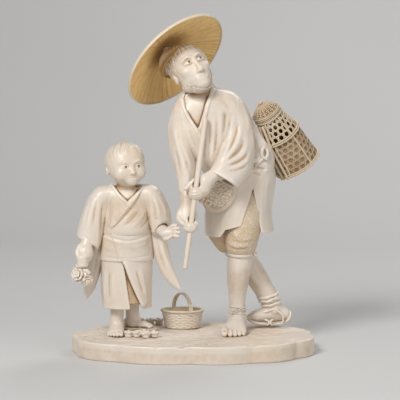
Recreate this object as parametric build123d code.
"""Okimono carving: a traveller with a sedge hat, a staff and a lidded creel, and a child with a
spray of flowers, standing on a lobed plinth.

The carving is built the way such groups are made: sections of ivory are carved apart, then joined
with tenons, dowels and glue lines. Every section is its own solid. Units are millimetres, +Z is up,
the viewer stands on the -Y side, and the origin is the centre of the plinth's underside.
"""

import os
from math import cos, pi, radians, sin, sqrt

from build123d import *

# Joinery shared by every section
GLUE_GAP = 0.1  # glue line left between two carved sections
DOWEL_R = 1.6  # ivory dowels under the feet
DOWEL_DEPTH = 6.0  # how far a dowel enters the plinth, and the section above it
SOCKET_GAP = 0.05  # radial room round a dowel or tenon
STAFF_GAP = 0.06  # running room between the staff and the hands

# Plinth
BASE_LENGTH = 179.0
BASE_DEPTH = 108.0
BASE_THICKNESS = 12.8
BASE_FULLNESS = 2.3  # 2 is an ellipse, more is fuller at the corners
BASE_NOTCH = 3.2  # how far the notches between the lobes reach in
BASE_NOTCH_R = 9.0  # rounding inside the notches
BASE_EDGE = 0.7  # eased edges of the plinth
BASE_NOTCH_ANGLES = (35, 62, 91, 127, 166, 205, 242, 278, 318, 357)

# Where the figures and the basket stand on the plinth
MAN_X, MAN_Y = 34.0, 13.0
CHILD_X, CHILD_Y = -49.0, 5.0
BASKET_X, BASKET_Y = -8.4, 29.0

# Traveller: ovals as (x, y, z, half width, half depth), from the spot under the body
BODY_TURN = 12.0  # the shoulders turn this far from the plinth's long axis, in degrees
WAIST_Z = 117.0
WAIST_OVAL = (-1.5, -1.0, WAIST_Z, 21.5, 17.0)
COAT_OVALS = (
    WAIST_OVAL,
    (-8.0, -4.5, WAIST_Z + 10, 20.5, 16.2),
    (-13.0, -7.5, WAIST_Z + 20, 20.5, 16.8),
    (-18.0, -11.0, WAIST_Z + 33, 21.0, 17.2),
    (-21.0, -12.6, WAIST_Z + 44.5, 22.5, 16.0),
    (-22.0, -12.8, WAIST_Z + 54, 21.5, 14.0),
    (-23.2, -12.6, WAIST_Z + 60, 17.0, 10.6),
    (-24.6, -13.0, WAIST_Z + 63.5, 10.4, 8.6),
)
SKIRT_OVALS = (
    (0.2, 2.5, 72.0, 26.2, 21.5),
    (0.5, 2.5, 78.0, 26.2, 21.0),
    (1.0, 2.0, 90.0, 26.0, 20.5),
    (2.0, 1.5, 105.0, 25.5, 19.5),
    WAIST_OVAL,
)
# The opening of the skirt, seen from the front: hem steps and the split over the thigh
SKIRT_SPLIT = ((-16.0, 70.0), (-10.5, 78.0), (1.0, 80.5), (9.6, 108.0), (16.2, 74.0), (17.0, 70.0))
SKIRT_SPLIT_BACK = -3.0  # how deep the opening reaches, as a y value
SASH_PROUD = 1.5
SASH_Z = (WAIST_Z + 4.0, WAIST_Z + 12.5)
COLLAR_PROUD = 1.3
COLLAR_WIDTH = 5.0
COLLAR_SPREAD = 26.0  # the two collar bands stay within this width
COLLAR_MEET = (-28.0, WAIST_Z + 25)  # where the two collar bands cross, seen from the front

LEFT_SLEEVE_OVALS = (
    (-7.0, -7.5, 169.5, 5.5, 7.0),
    (-2.6, -9.0, 158.0, 10.8, 11.5),
    (-0.6, -13.0, 141.0, 11.8, 13.0),
    (-3.0, -19.0, 127.5, 13.0, 11.5),
    (-9.5, -28.5, 120.5, 10.5, 9.0),
)
RIGHT_SLEEVE_OVALS = (
    (-39.0, -15.5, 169.0, 5.0, 6.6),
    (-42.4, -16.0, 157.0, 9.0, 11.0),
    (-41.5, -19.5, 137.0, 9.0, 10.5),
    (-40.0, -24.0, 122.0, 8.0, 8.6),
    (-38.8, -27.6, 109.0, 6.3, 6.0),
)
LEFT_HAND_OVALS = (
    (-12.0, -31.0, 120.3, 5.0, 4.6),
    (-18.0, -35.0, 120.0, 4.4, 4.2),
    (-24.0, -38.5, 117.5, 6.6, 6.2),
    (-31.0, -40.5, 114.5, 7.6, 6.8),
    (-37.5, -40.5, 112.5, 5.2, 5.0),
)
RIGHT_HAND_OVALS = (
    (-38.9, -30.5, 107.5, 4.6, 4.6),
    (-38.8, -35.0, 99.0, 4.2, 4.4),
    (-37.6, -39.5, 93.0, 6.4, 6.0),
    (-36.2, -42.5, 86.5, 7.6, 6.6),
    (-35.2, -44.0, 80.0, 5.0, 4.6),
)

FRONT_KNEE_Z = 60.0  # the level joint between the breeches and the shin
FRONT_THIGH_OVALS = (
    (8.0, -3.0, 101.0, 12.0, 11.5),
    (5.0, -5.0, 86.0, 12.8, 12.2),
    (2.5, -5.5, 74.0, 12.3, 12.4),
    (1.5, -4.5, FRONT_KNEE_Z + 6, 11.2, 11.4),
    (1.2, -2.8, FRONT_KNEE_Z - 2, 8.8, 9.0),
)
FRONT_SHIN_OVALS = (
    (1.3, -3.0, FRONT_KNEE_Z + 3, 8.4, 8.6),
    (0.2, -1.2, 50.0, 9.1, 9.6),
    (-0.8, 0.4, 38.0, 8.0, 8.8),
    (-1.3, 1.6, 26.0, 6.4, 7.0),
    (-1.3, 2.0, 18.5, 5.7, 6.4),
    (-1.4, 2.0, 8.0, 6.2, 7.2),
)
FRONT_FOOT_OVALS = (
    (-1.2, 9.0, 4.6, 4.4, 4.6),
    (-1.4, 3.0, 6.4, 6.4, 7.2),
    (-2.6, -6.0, 5.4, 7.6, 6.6),
    (-3.8, -14.0, 3.4, 9.2, 4.6),
    (-4.2, -20.0, 2.4, 9.4, 3.4),
    (-4.2, -23.0, 1.8, 8.2, 2.4),
)
REAR_THIGH_OVALS = (
    (-4.0, 8.0, 98.0, 11.5, 10.5),
    (-8.5, 5.0, 86.0, 11.2, 10.8),
    (-13.0, 2.0, 73.0, 10.2, 10.2),
    (-14.0, 2.0, 66.0, 8.4, 8.6),
)
REAR_SHIN_OVALS = (
    (-9.0, 6.0, 66.5, 7.6, 7.6),
    (0.0, 11.0, 55.0, 8.2, 8.4),
    (9.0, 15.6, 43.0, 8.0, 8.2),
    (16.6, 18.6, 31.5, 6.4, 6.6),
    (22.0, 19.6, 23.0, 5.6, 5.8),
    (25.4, 20.2, 15.0, 6.2, 6.4),
)
REAR_FOOT_OVALS = (
    (35.0, 20.8, 9.2, 3.8, 3.8),
    (29.0, 20.4, 10.4, 5.4, 7.2),
    (19.0, 18.6, 8.4, 5.6, 5.2),
    (10.5, 16.4, 6.4, 5.2, 3.0),
    (7.0, 15.4, 5.8, 4.0, 2.2),
)
SANDAL_SOLE = 3.4
REAR_SANDAL = ((9.0, 16.0), (33.0, 20.6), 5.8)  # toe and heel centres, half width
TIE_R = 1.1
KNEE_TIE_PROUD = 1.3
ANKLE_TIE_PROUD = 1.2

# Traveller's head, hat and staff
NECK_R = 7.4
NECK_TENON = 9.0
HEAD_CENTRE = (-36.3, -19.5, 194.0)
HEAD_UP = (-0.46, 0.33, 0.82)
HEAD_HALF = (14.4, 16.4, 20.5)  # half width, half depth, half height
HAT_R = 42.4
HAT_HEIGHT = 15.0
HAT_WALL = 2.2
HAT_LINE = ((1.0, 0.0), (0.75, 0.36), (0.5, 0.64), (0.25, 0.86), (0.06, 1.0))  # rim to crown
HAT_AXIS = (-0.60, 0.48, 0.64)
HAT_CENTRE = (-46.7, -12.0, 201.3)
HEADBAND_R = 13.8
HEADBAND_TUBE = 1.6
HEADBAND_DROP = -3.0  # the band lies this far inside the brim's plane
CORD_R = 0.8
CORD_FORWARD = 8.0  # the chin cord lies this far in front of the ears
STAFF_TOP = (-25.2, -32.5, 160.0)
STAFF_FOOT = (-39.8, -49.0, 53.2)
STAFF_R = 1.9
STAFF_TIP_R = 1.5
STAFF_TIP = 30.0  # length of the tapered foot of the staff

# Pouch at the belt
POUCH_CENTRE = (-15.0, -18.6, 105.0)
POUCH_HALF = (9.2, 4.6, 12.2)
POUCH_LEAN = 38.0
POUCH_RIM = 1.5
TOGGLE_R = 3.1
TOGGLE_THICK = 3.4
TOGGLE_BORE = 1.0
TOGGLE_CENTRE = (-23.4, -21.6, 98.0)
BEAD_R = 1.9

# Creel on the back, in its own frame: axis up, origin at the centre of its foot
CREEL_FOOT = (44.5, 20.8, 123.8)
CREEL_AXIS = (-0.504, -0.342, 0.793)
CREEL_FOOT_R = 17.6
CREEL_MID_R = 15.3
CREEL_MOUTH_R = 9.6
CREEL_MID_Z = 28.7
CREEL_MOUTH_Z = 47.7
CREEL_WALL = 1.5
CREEL_FLOOR = 2.0
CREEL_HOLES = 18
CREEL_HOLE_ROWS = 4
CREEL_HOLE_SHARE = 0.30  # hole radius as a share of the pitch round the wall
HOOP_PROUD = 0.9
HOOP_WIDTH = 2.0
LID_OVERHANG = 0.5
LID_RIM = 2.2
LID_HEIGHT = 6.5
LID_LIFT = 14.0
KNOB_R = 1.7
RAIL_R = 0.9
RAIL_ANGLES = (208.0, 226.0)
PEG_R = 2.2
SASH_KNOT_CENTRE = (15.5, -3.9, 131.7)
SASH_KNOT_R = 4.4
SASH_KNOT_TUBE = 1.6

# Child: ovals as (x, y, z, half width, half depth), from the spot under the body
CHILD_HEM_Z = 19.5
ROBE_OVALS = (
    (0.0, 0.0, CHILD_HEM_Z, 18.3, 14.5),
    (-0.3, 0.0, CHILD_HEM_Z + 17.5, 18.7, 14.5),
    (0.0, 0.0, CHILD_HEM_Z + 34.5, 18.9, 14.5),
    (0.5, -1.0, CHILD_HEM_Z + 55.5, 18.0, 13.5),
    (0.5, -2.0, CHILD_HEM_Z + 72.5, 17.0, 12.5),
    (0.0, -2.0, CHILD_HEM_Z + 84.0, 14.5, 11.0),
    (0.0, -2.0, CHILD_HEM_Z + 88.6, 8.6, 8.0),
)
OBI_Z = (CHILD_HEM_Z + 35.0, CHILD_HEM_Z + 54.0)
OBI_PROUD = 1.0
CHILD_COLLAR_WIDTH = 3.6
CHILD_COLLAR_MEET = (1.6, CHILD_HEM_Z + 77.0)
CHILD_RIGHT_SLEEVE_OVALS = (
    (-17.0, -2.0, 106.0, 4.5, 7.0),
    (-20.0, -2.5, 97.0, 8.0, 9.5),
    (-24.0, -3.0, 85.0, 9.3, 10.0),
    (-26.3, -3.5, 74.0, 9.4, 9.0),
    (-26.0, -1.0, 62.0, 7.4, 6.6),
    (-26.0, 0.0, 47.0, 6.4, 5.2),
    (-28.0, 0.0, 35.0, 4.4, 4.0),
    (-30.4, 0.0, 25.6, 1.4, 1.8),
)
CHILD_LEFT_SLEEVE_OVALS = (
    (16.5, -2.0, 108.0, 4.5, 7.0),
    (20.5, -2.5, 99.0, 8.0, 9.5),
    (24.5, -4.0, 87.0, 8.8, 10.0),
    (26.0, -5.0, 78.0, 8.2, 9.0),
    (24.8, -2.0, 67.0, 6.6, 6.8),
    (28.3, -2.0, 51.0, 5.6, 5.4),
    (33.8, -3.0, 40.0, 3.8, 3.8),
    (39.3, -4.0, 33.4, 1.2, 1.6),
)
CHILD_RIGHT_HAND_OVALS = (
    (-28.0, -9.5, 72.0, 4.4, 4.4),
    (-29.4, -12.0, 65.0, 4.8, 4.6),
    (-30.6, -13.5, 59.0, 5.2, 4.8),
    (-31.0, -14.0, 53.0, 3.6, 3.6),
)
CHILD_LEFT_HAND_OVALS = (
    (25.5, -12.0, 76.0, 3.8, 3.8),
    (28.0, -15.5, 75.8, 4.6, 3.6),
    (31.0, -19.0, 76.4, 5.2, 2.8),
    (33.8, -21.5, 77.4, 4.8, 2.0),
    (38.4, -24.5, 78.6, 3.4, 1.2),
)
THUMB_R = 1.5
THUMB_LENGTH = 7.0
STEM_R = 1.0
STEM_TOP = (-31.6, -16.5, 64.0)
STEM_FOOT = (-31.0, -18.0, 46.0)
BLOOM_BIG = ((-35.0, -17.5, 45.4), 4.6)
BLOOM_SMALL = ((-29.4, -19.4, 41.0), 3.4)
PETALS = 6
CHILD_NECK_R = 6.4
CHILD_NECK_TENON = 7.0
CHILD_HEAD_CENTRE = (-0.6, -4.0, 125.4)
CHILD_HEAD_UP = (-0.10, 0.10, 0.99)
CHILD_HEAD_HALF = (14.7, 15.4, 16.4)
CHILD_FRONT_LEG_OVALS = (
    (-7.4, 1.0, CHILD_HEM_Z + 6, 5.4, 5.6),
    (-7.6, 0.5, 12.0, 4.8, 5.2),
    (-7.8, 0.5, 5.0, 5.2, 6.0),
)
CHILD_FRONT_FOOT_OVALS = (
    (-7.6, 5.6, 3.4, 3.6, 3.6),
    (-7.6, 1.0, 4.4, 5.0, 5.2),
    (-7.8, -7.0, 3.2, 5.8, 4.2),
    (-7.9, -12.5, 2.0, 6.3, 2.8),
    (-7.9, -15.5, 1.5, 5.4, 2.0),
)
CHILD_REAR_LEG_OVALS = (
    (3.4, 9.0, CHILD_HEM_Z + 6, 5.4, 5.4),
    (3.4, 9.5, 14.0, 5.0, 5.2),
    (4.0, 9.5, 8.0, 5.6, 5.4),
)
CHILD_REAR_FOOT_OVALS = (
    (-0.6, 11.0, 6.0, 3.6, 3.2),
    (4.0, 9.8, 7.0, 5.0, 4.6),
    (10.5, 7.8, 5.6, 4.8, 3.0),
    (15.0, 6.6, 4.8, 4.0, 2.2),
)
CHILD_SANDAL_SOLE = 3.0
CHILD_SANDAL = ((1.0, 10.6), (16.0, 6.6), 6.6)  # heel and toe centres, half width

# Hand basket and scattered blossoms
BASKET_FOOT = (13.2, 10.0)  # half length and half depth at the foot
BASKET_MOUTH = (15.9, 12.2)
BASKET_HEIGHT = 14.0
BASKET_WALL = 1.5
BASKET_FLOOR = 1.8
RIM_PROUD = 0.9
RIM_HEIGHT = 2.0
HANDLE_TURN = -58.0  # the handle's plane, from the basket's long axis, in degrees
HANDLE_HALF_SPAN = 12.4
HANDLE_RISE = 12.0
HANDLE_THICK = 1.6
HANDLE_WIDTH = 3.2
BLOSSOM_R = 3.0
FRONT_BLOSSOMS = ((-47.2, -12.0), (-41.0, -12.6), (-34.6, -15.6), (-28.4, -12.8), (-36.0, -8.0))
REAR_BLOSSOMS = ((-33.0, 40.5), (-26.4, 41.6), (-40.0, 38.0))

UP = Vector(0, 0, 1)
MAN = Pos(MAN_X, MAN_Y, BASE_THICKNESS)
CHILD = Pos(CHILD_X, CHILD_Y, BASE_THICKNESS)
BASKET = Pos(BASKET_X, BASKET_Y, BASE_THICKNESS)
GROUND = Pos(0, 0, BASE_THICKNESS)
BODY_ACROSS = Vector(cos(radians(BODY_TURN)), sin(radians(BODY_TURN)), 0)
BIG = 400.0


def plane_at(centre, normal, across):
    """A plane at centre whose X runs as near to across as its normal lets it."""
    normal = Vector(normal).normalized()
    across = Vector(across)
    across = (across - normal * across.dot(normal)).normalized()
    return Plane(origin=Vector(centre), x_dir=across, z_dir=normal)


def oval(centre, half_width, half_depth, normal=UP, across=(1, 0, 0)):
    """A closed oval of four quarter arcs."""
    plane = plane_at(centre, normal, across)
    quarters = [
        Edge.make_ellipse(half_width, half_depth, plane, start, start + 90) for start in (0, 90, 180, 270)
    ]
    return Wire(quarters)


def stacked(stations, grow=0.0, across=(1, 0, 0)):
    """A form drawn through level ovals."""
    return Solid.make_loft([oval(s[:3], s[3] + grow, s[4] + grow, UP, across) for s in stations])


def along(stations, grow=0.0, across=(1, 0, 0)):
    """A form drawn through ovals that stand square to the line of their centres."""
    centres = [Vector(s[:3]) for s in stations]
    wires = []
    for i, s in enumerate(stations):
        before, after = centres[max(i - 1, 0)], centres[min(i + 1, len(centres) - 1)]
        wires.append(oval(s[:3], s[3] + grow, s[4] + grow, after - before, across))
    return Solid.make_loft(wires)


def reaching(stations, grow=0.0):
    """A form that reaches out level: the ovals' half width lies level, their half depth upright."""
    reach = Vector(stations[-1][:3]) - Vector(stations[0][:3])
    return along(stations, grow, UP.cross(reach))


def rod(start, end, radius):
    """A round rod between two points."""
    start, end = Vector(start), Vector(end)
    return Solid.make_cylinder(radius, (end - start).length, Plane(origin=start, z_dir=end - start))


def egg(centre, up, half, forward=(0, -1, 0), grow=0.0):
    """A rounded head-like form: half width, half depth and half height along up."""
    width, depth, height = (h + grow for h in half)
    up = Vector(up).normalized()
    shares = (-0.985, -0.86, -0.55, 0.0, 0.5, 0.84, 0.985)
    across = Vector(forward).cross(up) * -1
    wires = []
    for share in shares:
        size = sqrt(1 - share * share)
        wires.append(oval(Vector(centre) + up * (height * share), width * size, depth * size, up, across))
    return Solid.make_loft(wires)


def slab(low, high):
    """A very wide level slab between two heights."""
    return Pos(0, 0, (low + high) / 2) * Box(BIG, BIG, high - low)


def above_ground(shape):
    return shape & slab(0, BIG)


def front_prism(points, front, back):
    """A prism whose outline is drawn in X and Z, running from front to back along Y."""
    outline = Wire.make_polygon([Vector(x, front, z) for x, z in points], close=True)
    return Solid.extrude(Face(outline), Vector(0, back - front, 0))


def one(shape):
    """The result of a cut as plain solids."""
    solids = shape.solids()
    return solids[0] if len(solids) == 1 else Compound(solids)


# Plinth and the things that lie on it


def plinth_outline():
    """Outward lobes between notches that lie on a full oval."""
    half_x, half_y = BASE_LENGTH / 2, BASE_DEPTH / 2

    def on_oval(angle, inset):
        c, d = cos(radians(angle)), sin(radians(angle))
        full = (abs(c) ** BASE_FULLNESS + abs(d) ** BASE_FULLNESS) ** (-1 / BASE_FULLNESS)
        return Vector((half_x - inset) * c * full, -(half_y - inset) * d * full)

    angles = [*BASE_NOTCH_ANGLES, BASE_NOTCH_ANGLES[0] + 360]
    arcs = []
    for a, b in zip(angles, angles[1:]):
        arcs.append(
            ThreePointArc(on_oval(a, BASE_NOTCH), on_oval((a + b) / 2, 0), on_oval(b, BASE_NOTCH))
        )
    face = make_face(arcs)
    return fillet(face.vertices(), BASE_NOTCH_R)


def dowel_spots():
    """Where dowels stand between the plinth and the sections above it."""
    man = [(-2.0, 0.5), REAR_DOWEL]
    child = [(-7.7, 0.5), (6.0, 9.3)]
    spots = [(MAN_X + x, MAN_Y + y) for x, y in man]
    spots += [(CHILD_X + x, CHILD_Y + y) for x, y in child]
    return spots + [(BASKET_X, BASKET_Y)]


REAR_DOWEL = (24.0, 19.0)


def dowels(grow=0.0):
    height = 2 * DOWEL_DEPTH + 2 * grow
    middle = BASE_THICKNESS
    pins = [Pos(x, y, middle) * Cylinder(DOWEL_R + grow, height) for x, y in dowel_spots()[:-1]]
    x, y = dowel_spots()[-1]
    basket_top = BASE_THICKNESS + BASKET_FLOOR
    basket_foot = BASE_THICKNESS - DOWEL_DEPTH
    pins.append(
        Pos(x, y, (basket_top + basket_foot) / 2)
        * Cylinder(DOWEL_R + grow, basket_top - basket_foot + (2 * grow if grow else 0))
    )
    return pins


def plinth():
    block = extrude(plinth_outline(), BASE_THICKNESS)
    edges = block.edges().filter_by(lambda e: abs(e.tangent_at(0.5).Z) < 0.01)
    block = fillet(edges, BASE_EDGE)
    return block - dowels(SOCKET_GAP)


def basket_cone(grow):
    """The basket's outside, grown by that much, from foot to mouth."""
    foot = oval((0, 0, 0), BASKET_FOOT[0] + grow, BASKET_FOOT[1] + grow)
    mouth = oval((0, 0, BASKET_HEIGHT), BASKET_MOUTH[0] + grow, BASKET_MOUTH[1] + grow)
    return Solid.make_loft([foot, mouth])


def basket_bowl():
    inside = basket_cone(-BASKET_WALL) & slab(BASKET_FLOOR, BIG)
    return BASKET * (basket_cone(0) - inside) - dowels(SOCKET_GAP)[-1]


def basket_rim():
    band = slab(BASKET_HEIGHT - RIM_HEIGHT, BASKET_HEIGHT)
    return BASKET * ((basket_cone(RIM_PROUD) - basket_cone(GLUE_GAP)) & band)


def basket_handle():
    """A flat hoop that stands on the mouth, its feet on the wall."""
    half = HANDLE_HALF_SPAN
    outer = Edge.make_ellipse(half, HANDLE_RISE, Plane.XZ, 0, 180)
    inner = Edge.make_ellipse(half - HANDLE_THICK, HANDLE_RISE - HANDLE_THICK, Plane.XZ, 0, 180)
    feet = [Line(outer @ 0, inner @ 0), Line(outer @ 1, inner @ 1)]
    arch = extrude(make_face([outer, inner, *feet]), HANDLE_WIDTH / 2, both=True)
    return BASKET * Pos(0, 0, BASKET_HEIGHT) * Rot(0, 0, HANDLE_TURN) * arch


def blossoms(spots):
    """Little cupped flower heads that lie on the plinth."""
    cup = Pos(0, 0, BLOSSOM_R * 0.45) * Sphere(BLOSSOM_R) & slab(0, BLOSSOM_R * 1.1)
    hollow = Pos(0, 0, BLOSSOM_R * 1.45) * Sphere(BLOSSOM_R * 0.8)
    return Compound([one(GROUND * Pos(x, y, 0) * (cup - hollow)) for x, y in spots])


# Child


def robe(grow=0.0):
    return stacked(ROBE_OVALS, grow)


def robe_band(low, high, proud):
    """A band that lies on the robe between two heights."""
    return (robe(proud) & slab(low, high)) - robe(GLUE_GAP)


def child_legs(grow=0.0):
    return [stacked(CHILD_FRONT_LEG_OVALS, grow), stacked(CHILD_REAR_LEG_OVALS, grow)]


def child_neck(grow=0.0):
    up = Vector(CHILD_HEAD_UP).normalized()
    foot = Vector(ROBE_OVALS[-1][:3]) - up * (CHILD_NECK_TENON + grow)
    return rod(foot, Vector(CHILD_HEAD_CENTRE), CHILD_NECK_R + grow)


def child_robe():
    body = robe() - child_neck(SOCKET_GAP)
    return CHILD * (body - child_legs(GLUE_GAP))


def collar(skin, meet, tops, width, proud):
    """Two crossed bands that lie on a coat and run from the meeting point up past the neck."""
    x, z = meet
    bands = []
    for top_x, top_z in tops:
        lean = Vector(top_x - x, 0, top_z - z).normalized()
        side = Vector(lean.Z, 0, -lean.X) * (width / 2)
        start, end = Vector(x, 0, z) - lean * width, Vector(top_x, 0, top_z)
        corners = [start + side, end + side, end - side, start - side]
        bands.append(front_prism([(c.X, c.Z) for c in corners], -BIG / 4, 0))
    return (skin(proud) & (bands[0] + bands[1])) - skin(GLUE_GAP)


def child_collar():
    tops = ((-9.5, ROBE_OVALS[-1][2] - 1.5), (10.5, ROBE_OVALS[-1][2] - 1.0))
    band = collar(robe, CHILD_COLLAR_MEET, tops, CHILD_COLLAR_WIDTH, COLLAR_PROUD)
    front = Pos(0, CHILD_SPLIT_Y - BIG / 2, 0) * Box(BIG, BIG, BIG)
    return CHILD * (band & front)


CHILD_SPLIT_Y = -4.0  # the collar bands stop this far back on the shoulders


def obi_room():
    """The wide belt's space on the robe, with its glue line."""
    return robe(OBI_PROUD + GLUE_GAP) & slab(OBI_Z[0] - GLUE_GAP, OBI_Z[1] + GLUE_GAP)


def child_sleeve(stations, hand):
    shape = stacked(stations) - robe(GLUE_GAP) - obi_room() - hand
    return CHILD * max(shape.solids(), key=lambda s: s.volume)


def child_head():
    head = egg(CHILD_HEAD_CENTRE, CHILD_HEAD_UP, CHILD_HEAD_HALF) + child_neck()
    return CHILD * head


def flower_stem(grow=0.0):
    return rod(STEM_TOP, STEM_FOOT, STEM_R + grow)


def child_right_hand():
    """A closed fist with the stem drawn through it."""
    return CHILD * (along(CHILD_RIGHT_HAND_OVALS) - flower_stem(SOCKET_GAP))


def child_left_hand():
    """An open palm with its fingers together and the thumb apart."""
    palm, knuckles = (Vector(CHILD_LEFT_HAND_OVALS[i][:3]) for i in (1, 3))
    reach = (knuckles - palm).normalized()
    root = palm + UP * CHILD_LEFT_HAND_OVALS[1][4] * 0.5
    thumb = rod(root, root + reach * THUMB_LENGTH + UP * THUMB_LENGTH * 0.35, THUMB_R)
    return CHILD * (reaching(CHILD_LEFT_HAND_OVALS) + thumb)


def bloom(centre, radius):
    """A round flower head ringed by petals."""
    head = Pos(*centre) * Sphere(radius * 0.72)
    for i in range(PETALS):
        a = 2 * pi * i / PETALS
        petal = Pos(radius * 0.62 * cos(a), -radius * 0.1, radius * 0.62 * sin(a)) * Sphere(radius * 0.42)
        head = head + Pos(*centre) * petal
    return one(head - flower_stem(SOCKET_GAP))


def flower_blooms():
    big, small = bloom(*BLOOM_BIG), bloom(*BLOOM_SMALL)
    return CHILD * Compound([big, one(small - bloom(BLOOM_BIG[0], BLOOM_BIG[1] + GLUE_GAP))])


def child_front_leg():
    foot = above_ground(reaching(CHILD_FRONT_FOOT_OVALS))
    return CHILD * (child_legs()[0] + foot) - dowels(SOCKET_GAP)[2]


def sole(start, end, half_width, thick):
    """A flat sole with round ends."""
    start, end = Vector(*start), Vector(*end)
    turn = (end - start).get_signed_angle(Vector(1, 0, 0), Vector(0, 0, -1))
    length = (end - start).length + 2 * half_width
    middle = (start + end) / 2
    return Pos(middle.X, middle.Y, 0) * Rot(0, 0, turn) * extrude(SlotOverall(length, 2 * half_width), thick)


def child_sandal():
    return CHILD * sole(*CHILD_SANDAL, CHILD_SANDAL_SOLE) - dowels(SOCKET_GAP)[3]


def child_rear_leg():
    foot = reaching(CHILD_REAR_FOOT_OVALS) + child_legs()[1]
    return CHILD * (foot & slab(CHILD_SANDAL_SOLE, BIG)) - dowels(SOCKET_GAP)[3]


# Traveller


def coat(grow=0.0):
    return stacked(COAT_OVALS, grow, BODY_ACROSS)


def skirt_form(grow=0.0):
    return stacked(SKIRT_OVALS, grow, BODY_ACROSS)


def man_neck(grow=0.0):
    head, root = Vector(HEAD_CENTRE), Vector(COAT_OVALS[-1][:3])
    lean = (head - root).normalized()
    return rod(root - lean * (NECK_TENON + grow), head, NECK_R + grow)


def front_thigh(grow=0.0):
    return along(FRONT_THIGH_OVALS, grow)


def rear_thigh(grow=0.0):
    return along(REAR_THIGH_OVALS, grow)


def front_shin(grow=0.0):
    return along(FRONT_SHIN_OVALS, grow)


def rear_shin(grow=0.0):
    return along(REAR_SHIN_OVALS, grow)


def man_coat():
    body = coat() - man_neck(SOCKET_GAP) - head_form(GLUE_GAP)
    return MAN * body - creel_peg_rod(SOCKET_GAP)


def man_skirt():
    opening = front_prism(SKIRT_SPLIT, -BIG / 4, SKIRT_SPLIT_BACK)
    body = skirt_form() - opening
    body = body - front_thigh(GLUE_GAP) - rear_thigh(GLUE_GAP) - rear_shin(GLUE_GAP)
    return MAN * max(body.solids(), key=lambda s: s.volume)


def man_sash():
    band = MAN * ((coat(SASH_PROUD) & slab(*SASH_Z)) - coat(GLUE_GAP))
    return band - creel_peg_rod(SOCKET_GAP)


def man_collar():
    x, z = COAT_OVALS[-1][0], COAT_OVALS[-1][2]
    band = collar(coat, COLLAR_MEET, ((x - 9.0, z - 5.0), (x + 10.0, z - 4.0)), COLLAR_WIDTH, COLLAR_PROUD)
    front = Pos(0, COAT_OVALS[-1][1] - BIG / 2, 0) * Box(BIG, BIG, BIG)
    return MAN * ((band & front) - head_form(GLUE_GAP) - man_neck(GLUE_GAP))


def left_sleeve(grow=0.0):
    return along(LEFT_SLEEVE_OVALS, grow)


def right_sleeve(grow=0.0):
    return along(RIGHT_SLEEVE_OVALS, grow)


def sash_room():
    """The sash's space on the coat, with its glue line."""
    return coat(SASH_PROUD + GLUE_GAP) & slab(SASH_Z[0] - GLUE_GAP, SASH_Z[1] + GLUE_GAP)


def collar_room():
    """The collar's space on the front of the coat, with its glue line."""
    x, z = COAT_OVALS[-1][0], COAT_OVALS[-1][2]
    room = Pos(x, -BIG / 4, z) * Box(COLLAR_SPREAD, BIG / 2, BIG)
    return coat(COLLAR_PROUD + GLUE_GAP) & room


def man_sleeve(sleeve, hand):
    shape = sleeve() - coat(GLUE_GAP) - sash_room() - collar_room() - skirt_form(GLUE_GAP) - hand
    return MAN * max(shape.solids(), key=lambda s: s.volume)


def staff_lean():
    return (Vector(STAFF_FOOT) - Vector(STAFF_TOP)).normalized()


def staff_bore():
    lean = staff_lean()
    return rod(Vector(STAFF_TOP) - lean * 5, Vector(STAFF_FOOT) + lean * 5, STAFF_R + STAFF_GAP)


def staff():
    """A round rod, tapered towards its foot."""
    lean = staff_lean()
    top, foot = Vector(STAFF_TOP), Vector(STAFF_FOOT)
    shoulder = foot - lean * STAFF_TIP
    tip = Solid.make_cone(STAFF_R, STAFF_TIP_R, STAFF_TIP, Plane(origin=shoulder, z_dir=lean))
    return MAN * (rod(top, shoulder, STAFF_R) + tip)


def man_hand(hand):
    return MAN * (hand - staff_bore())


def man_front_leg():
    foot = above_ground(reaching(FRONT_FOOT_OVALS))
    shin = front_shin() & slab(0, FRONT_KNEE_Z)
    return MAN * (shin + foot) - dowels(SOCKET_GAP)[0]


def front_breeches():
    return MAN * (front_thigh() & slab(FRONT_KNEE_Z, BIG))


def ring_round(limb, at, normal, width, proud, cut=GLUE_GAP):
    """A cord or band that lies round a limb."""
    band = Plane(origin=Vector(at), z_dir=Vector(normal)) * Box(60, 60, width)
    return (limb(proud) & band) - limb(cut)


def front_knee_tie():
    return MAN * ring_round(front_shin, (1.1, -2.6, FRONT_KNEE_Z - 2.4), UP, 2.4, KNEE_TIE_PROUD)


def front_ankle_ties():
    rings = [ring_round(front_shin, (-1.3, 1.8, z), UP, 1.7, ANKLE_TIE_PROUD) for z in (17.5, 21.0)]
    return MAN * Compound([one(r) for r in rings])


def rear_breeches():
    body = rear_thigh() - rear_shin(GLUE_GAP)
    return MAN * max((body - front_thigh(GLUE_GAP)).solids(), key=lambda s: s.volume)


def rear_sandal():
    return MAN * sole(*REAR_SANDAL, SANDAL_SOLE) - dowels(SOCKET_GAP)[1]


def man_rear_leg():
    foot = reaching(REAR_FOOT_OVALS) & slab(SANDAL_SOLE, BIG)
    leg = rear_shin() & slab(SANDAL_SOLE, BIG)
    leg = leg - front_thigh(GLUE_GAP) - front_shin(KNEE_TIE_PROUD + GLUE_GAP)
    leg = max(leg.solids(), key=lambda s: s.volume)
    return MAN * (leg + foot) - dowels(SOCKET_GAP)[1]


def rear_ankle_tie():
    lean = Vector(REAR_SHIN_OVALS[-2][:3]) - Vector(REAR_SHIN_OVALS[-3][:3])
    return MAN * ring_round(rear_shin, (19.4, 19.2, 27.0), lean, 2.6, ANKLE_TIE_PROUD)


# Traveller's head and hat


def head_form(grow=0.0):
    return egg(HEAD_CENTRE, HEAD_UP, HEAD_HALF, grow=grow)


def man_head():
    return MAN * (head_form() + man_neck()) - hat_peg_rod(SOCKET_GAP)


def hat_plane():
    return plane_at(HAT_CENTRE, HAT_AXIS, (0.7, 0.7, 0))


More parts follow.
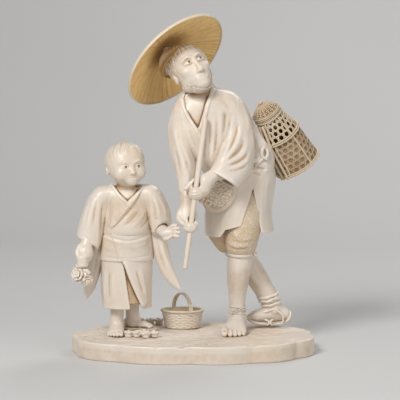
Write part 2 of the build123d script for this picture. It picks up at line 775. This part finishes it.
def hat_shell():
    """A shallow straw cone, a little bellied, with a small flat crown."""
    outer = [(r * HAT_R, z * HAT_HEIGHT) for r, z in HAT_LINE]
    inner = [(r * (HAT_R - HAT_WALL), z * (HAT_HEIGHT - HAT_WALL)) for r, z in HAT_LINE]
    crown = [(0, HAT_HEIGHT), (0, HAT_HEIGHT - HAT_WALL)]
    return MAN * hat_plane().location * turned(outer + crown + inner[::-1])


def hat_headband():
    """The padded ring that holds the hat off the head."""
    ring = Pos(0, 0, HEADBAND_DROP) * Solid.make_torus(HEADBAND_R, HEADBAND_TUBE)
    return MAN * (hat_plane().location * ring - head_form(GLUE_GAP))


def hat_peg_rod(grow=0.0):
    """The dowel between the crown of the head and the hat."""
    plane = hat_plane()
    top = plane.from_local_coords(Vector(0, 0, HAT_HEIGHT - HAT_WALL - 3 * GLUE_GAP))
    foot = plane.from_local_coords(Vector(0, 0, 0.5))
    return MAN * rod(foot, top, PEG_R + grow)


def hat_peg():
    return hat_peg_rod()


def chin_cord():
    """A cord from ear to ear under the jaw, clear of the skin by the glue line."""
    up = Vector(HEAD_UP).normalized()
    ahead = (Vector(0, -1, 0) - up * Vector(0, -1, 0).dot(up)).normalized()
    width, depth, height = HEAD_HALF
    share = sqrt(1 - (CORD_FORWARD / depth) ** 2)
    stand_off = CORD_R + 2.5 * GLUE_GAP
    plane = plane_at(Vector(HEAD_CENTRE) + ahead * CORD_FORWARD, ahead, up.cross(ahead))
    path = Edge.make_ellipse(width * share + stand_off, height * share + stand_off, plane, 200, 340)
    start = Plane(origin=path @ 0, z_dir=path % 0)
    tube = sweep(start * Circle(CORD_R), Wire([path]))
    return MAN * (tube - head_form(GLUE_GAP) - man_neck(GLUE_GAP))


# Pouch, toggle and knot at the belt


def pouch_plane():
    lean = radians(POUCH_LEAN)
    return plane_at(POUCH_CENTRE, (sin(lean), 0, cos(lean)), (cos(lean), 0, -sin(lean)))


def pouch_form(grow=0.0):
    up = (sin(radians(POUCH_LEAN)), 0, cos(radians(POUCH_LEAN)))
    return egg(POUCH_CENTRE, up, POUCH_HALF, grow=grow)


def pouch_body():
    body = pouch_form() - skirt_form(GLUE_GAP) - coat(SASH_PROUD + GLUE_GAP)
    return MAN * (body - left_sleeve(GLUE_GAP) - toggle(GLUE_GAP))


def pouch_rim():
    """The raised edge that runs round the pouch where its halves meet."""
    ring = pouch_form(POUCH_RIM) - pouch_form(GLUE_GAP)
    belt = Pos(0, POUCH_CENTRE[1] + POUCH_RIM, 0) * Box(BIG, 2 * POUCH_RIM, BIG)
    rim = (ring & belt) - skirt_form(GLUE_GAP) - coat(SASH_PROUD + GLUE_GAP) - left_sleeve(GLUE_GAP)
    return MAN * max((rim - toggle(GLUE_GAP)).solids(), key=lambda s: s.volume)


def toggle_place():
    return plane_at(TOGGLE_CENTRE, (0, -1, 0), (1, 0, 0)).location


def toggle(grow=0.0):
    return toggle_place() * Cylinder(TOGGLE_R + grow, TOGGLE_THICK + 2 * grow)


def pouch_toggle():
    """The pierced toggle and the bead on the pouch's cord."""
    button = chamfer(Cylinder(TOGGLE_R, TOGGLE_THICK).edges(), 0.7)
    button = button - Cylinder(TOGGLE_BORE, 2 * TOGGLE_THICK)
    bead = Pos(-TOGGLE_R - BEAD_R - GLUE_GAP, 1.0, 0) * Sphere(BEAD_R)
    return MAN * toggle_place() * Compound([one(button), one(bead)])


def sash_knot():
    """A bow loop at the side of the sash."""
    loop = plane_at(SASH_KNOT_CENTRE, (0.75, -0.6, 0.2), (0, 0, 1)).location * Solid.make_torus(
        SASH_KNOT_R, SASH_KNOT_TUBE
    )
    loop = loop - coat(SASH_PROUD + GLUE_GAP) - left_sleeve(GLUE_GAP)
    return MAN * max(loop.solids(), key=lambda s: s.volume)


# Creel


def creel_place():
    return MAN * plane_at(CREEL_FOOT, CREEL_AXIS, (1, 0, 0)).location


def creel_radius(z):
    """The outside radius of the creel's wall at a height."""
    if z <= CREEL_MID_Z:
        return CREEL_FOOT_R + (CREEL_MID_R - CREEL_FOOT_R) * z / CREEL_MID_Z
    share = (z - CREEL_MID_Z) / (CREEL_MOUTH_Z - CREEL_MID_Z)
    return CREEL_MID_R + (CREEL_MOUTH_R - CREEL_MID_R) * share


def turned(points):
    """A ring turned from an outline of (radius, height) points."""
    return revolve(make_face(Polyline([(r, 0, z) for r, z in points], close=True)), Axis.Z)


def creel_holes():
    """Six-sided openings through the upper wall, in staggered rows."""
    low, high = CREEL_MID_Z + HOOP_WIDTH, CREEL_MOUTH_Z - HOOP_WIDTH
    pitch_z = (high - low) / CREEL_HOLE_ROWS
    cutters = []
    for row in range(CREEL_HOLE_ROWS):
        z = low + pitch_z * (row + 0.5)
        size = min(2 * pi * creel_radius(z) / CREEL_HOLES, pitch_z * 1.15) * CREEL_HOLE_SHARE * 1.15
        for i in range(CREEL_HOLES):
            angle = 360 * (i + 0.5 * (row % 2)) / CREEL_HOLES
            prism = extrude(Plane.YZ * RegularPolygon(size, 6), CREEL_FOOT_R * 2)
            cutters.append(Rot(0, 0, angle) * Pos(0, 0, z) * prism)
    return cutters


def creel_shell():
    wall = CREEL_WALL
    outline = [
        (0, 0),
        (CREEL_FOOT_R, 0),
        (CREEL_MID_R, CREEL_MID_Z),
        (CREEL_MOUTH_R, CREEL_MOUTH_Z),
        (CREEL_MOUTH_R - wall, CREEL_MOUTH_Z),
        (CREEL_MID_R - wall, CREEL_MID_Z),
        (creel_radius(CREEL_FLOOR) - wall, CREEL_FLOOR),
        (0, CREEL_FLOOR),
    ]
    shell = turned(outline) - creel_holes()
    return creel_place() * shell - creel_peg_rod(SOCKET_GAP)


def hoop(z, width=HOOP_WIDTH, proud=HOOP_PROUD):
    """A hoop that lies on the wall at a height."""
    low, high = z - width / 2, z + width / 2
    inner_low, inner_mid, inner_high = (creel_radius(h) + GLUE_GAP for h in (low, z, high))
    return turned(
        [
            (inner_low, low),
            (inner_low + proud, low + width * 0.2),
            (inner_mid + proud * 1.3, z),
            (inner_high + proud, high - width * 0.2),
            (inner_high, high),
            (inner_mid, z),
        ]
    )


def creel_hoops():
    heights = (HOOP_WIDTH / 2, CREEL_MID_Z, CREEL_MOUTH_Z - HOOP_WIDTH / 2)
    return creel_place() * Compound([one(hoop(z)) for z in heights])


def creel_rails():
    """Carrying bars that stand against the creel's back, on the hoops."""
    stand = GLUE_GAP * 3 + HOOP_PROUD * 1.3 + RAIL_R
    bars = []
    for angle in RAIL_ANGLES:
        a = radians(angle)

        def spot(z):
            r = creel_radius(z) + stand
            return Vector(r * cos(a), r * sin(a), z)

        bars.append(rod(spot(0.5), spot(CREEL_MID_Z + 1.0), RAIL_R))
    return creel_place() * Compound(bars)


def creel_lid():
    """A domed lid that sits on the mouth hoop, with a spigot inside the mouth."""
    edge = CREEL_MOUTH_R + HOOP_PROUD + LID_OVERHANG
    spigot = CREEL_MOUTH_R - CREEL_WALL - SOCKET_GAP * 4
    z = CREEL_MOUTH_Z + GLUE_GAP
    lid = turned(
        [
            (0, z - LID_RIM),
            (spigot, z - LID_RIM),
            (spigot, z),
            (edge, z),
            (edge, z + LID_RIM),
            (edge - 1.2, z + LID_RIM),
            (edge * 0.62, z + LID_RIM + LID_HEIGHT * 0.62),
            (edge * 0.34, z + LID_RIM + LID_HEIGHT * 0.9),
            (0, z + LID_RIM + LID_HEIGHT),
        ]
    )
    return creel_place() * lid


def creel_lid_knob():
    """A bead knob and a cord ring on top of the lid."""
    z = CREEL_MOUTH_Z + GLUE_GAP + LID_RIM + LID_HEIGHT
    bead = Pos(0, 0, z + KNOB_R * 0.9 + GLUE_GAP) * Sphere(KNOB_R)
    foot = Pos(0, 0, z + GLUE_GAP + KNOB_R * 0.3) * Cylinder(KNOB_R * 0.7, KNOB_R * 0.6)
    return creel_place() * (bead + foot)


def creel_peg_rod(grow=0.0):
    """The dowel that carries the creel on the traveller's back."""
    place = creel_place()
    wall = place * Pos(-CREEL_MID_R + CREEL_WALL, 0, CREEL_MID_Z * 0.55)
    start = wall.position
    heart = MAN * Pos(*COAT_OVALS[1][:3])
    lean = (heart.position - start).normalized()
    return rod(start, start + lean * (CREEL_PEG_LENGTH + grow), PEG_R + grow)


CREEL_PEG_LENGTH = 26.0


def creel_peg():
    return creel_peg_rod()


PIECES = {
    "base_plinth": plinth,
    "base_dowels": lambda: Compound([one(d) for d in dowels()]),
    "hand_basket_bowl": basket_bowl,
    "hand_basket_rim": basket_rim,
    "hand_basket_handle": basket_handle,
    "front_blossoms": lambda: blossoms(FRONT_BLOSSOMS),
    "rear_blossoms": lambda: blossoms(REAR_BLOSSOMS),
    "child_robe": child_robe,
    "child_obi": lambda: CHILD * robe_band(*OBI_Z, OBI_PROUD),
    "child_collar": child_collar,
    "child_right_sleeve": lambda: child_sleeve(
        CHILD_RIGHT_SLEEVE_OVALS, along(CHILD_RIGHT_HAND_OVALS, GLUE_GAP)
    ),
    "child_left_sleeve": lambda: child_sleeve(
        CHILD_LEFT_SLEEVE_OVALS, reaching(CHILD_LEFT_HAND_OVALS, GLUE_GAP)
    ),
    "child_head": child_head,
    "child_right_hand": child_right_hand,
    "child_left_hand": child_left_hand,
    "child_front_leg": child_front_leg,
    "child_rear_leg": child_rear_leg,
    "child_sandal": child_sandal,
    "flower_stem": lambda: CHILD * flower_stem(),
    "flower_blooms": flower_blooms,
    "man_coat": man_coat,
    "man_skirt": man_skirt,
    "man_sash": man_sash,
    "man_collar": man_collar,
    "man_left_sleeve": lambda: man_sleeve(left_sleeve, reaching(LEFT_HAND_OVALS, GLUE_GAP)),
    "man_right_sleeve": lambda: man_sleeve(right_sleeve, along(RIGHT_HAND_OVALS, GLUE_GAP)),
    "man_left_hand": lambda: man_hand(reaching(LEFT_HAND_OVALS)),
    "man_right_hand": lambda: man_hand(along(RIGHT_HAND_OVALS)),
    "man_front_breeches": front_breeches,
    "man_front_leg": man_front_leg,
    "man_front_knee_tie": front_knee_tie,
    "man_front_ankle_ties": front_ankle_ties,
    "man_rear_breeches": rear_breeches,
    "man_rear_leg": man_rear_leg,
    "man_rear_sandal": rear_sandal,
    "man_rear_ankle_tie": rear_ankle_tie,
    "man_head": man_head,
    "hat_shell": hat_shell,
    "hat_headband": hat_headband,
    "hat_peg": hat_peg,
    "hat_chin_cord": chin_cord,
    "staff": staff,
    "pouch_body": pouch_body,
    "pouch_rim": pouch_rim,
    "pouch_toggle": pouch_toggle,
    "sash_knot": sash_knot,
    "creel_shell": creel_shell,
    "creel_hoops": creel_hoops,
    "creel_rails": creel_rails,
    "creel_lid": creel_lid,
    "creel_lid_knob": creel_lid_knob,
    "creel_peg": creel_peg,
}


def main():
    os.makedirs("parts", exist_ok=True)
    for name, make in PIECES.items():
        export_step(one(make()), f"parts/{name}.step")


if __name__ == "__main__":
    main()
